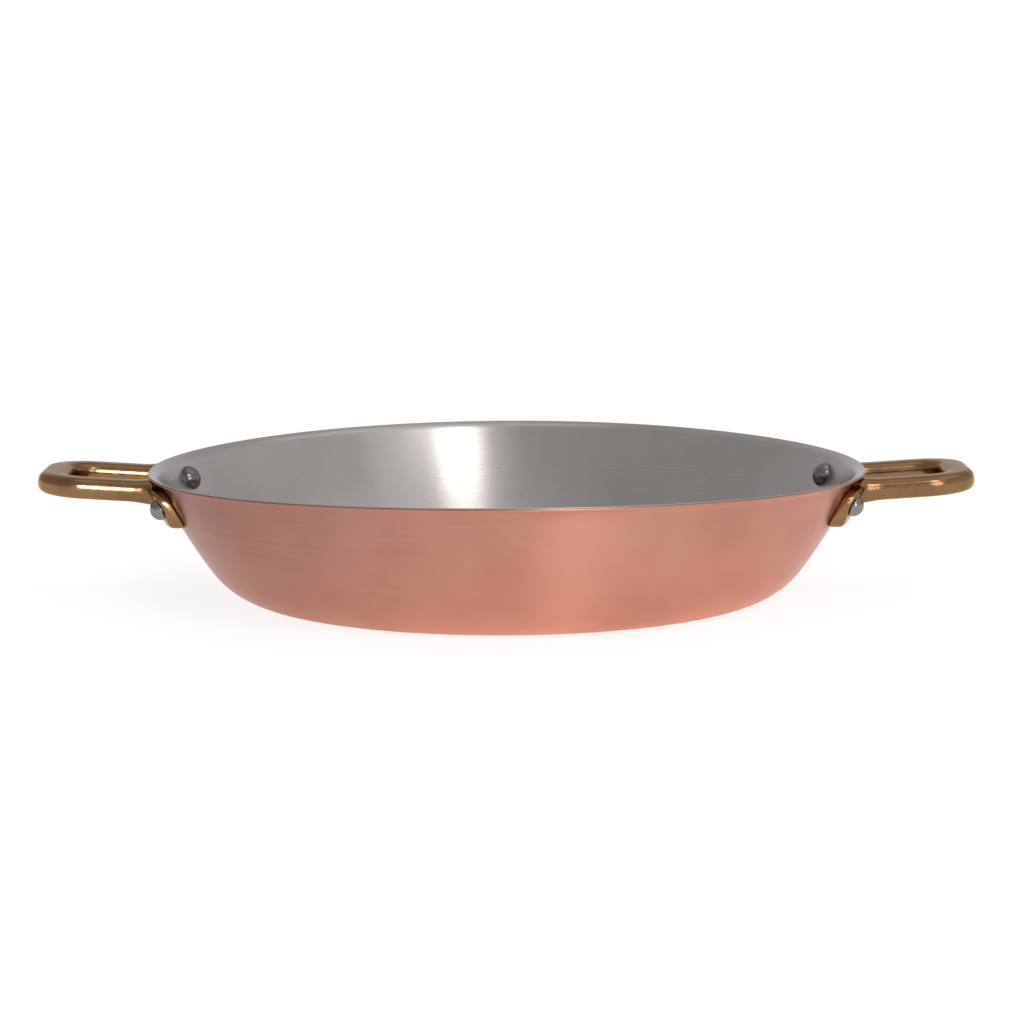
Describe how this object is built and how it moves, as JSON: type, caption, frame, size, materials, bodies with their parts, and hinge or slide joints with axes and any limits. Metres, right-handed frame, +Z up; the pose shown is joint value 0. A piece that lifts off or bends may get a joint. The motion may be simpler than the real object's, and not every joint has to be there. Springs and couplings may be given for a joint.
{
  "type": "saute pan",
  "caption": "Round copper pan with a flat base, flared walls, an outward lip, a steel lining and cast brass loop handles on rivets.",
  "frame": {"origin": "middle of the base's underside", "axes": "+X towards the right handle, +Z up out of the bowl, +Y away from the viewer of the picture"},
  "size_m": [0.3388, 0.26, 0.0484],
  "materials": {
    "copper": null,
    "lining_steel": "satin, with fine turning marks round the pan",
    "cast_brass": "cast and polished",
    "rivet_steel": "satin"
  },
  "bodies": {
    "root": {"copper_shell": "copper", "steel_lining": "lining_steel", "left_handle": "cast_brass", "right_handle": "cast_brass", "rivets": "rivet_steel"}
  },
  "joints": []
}
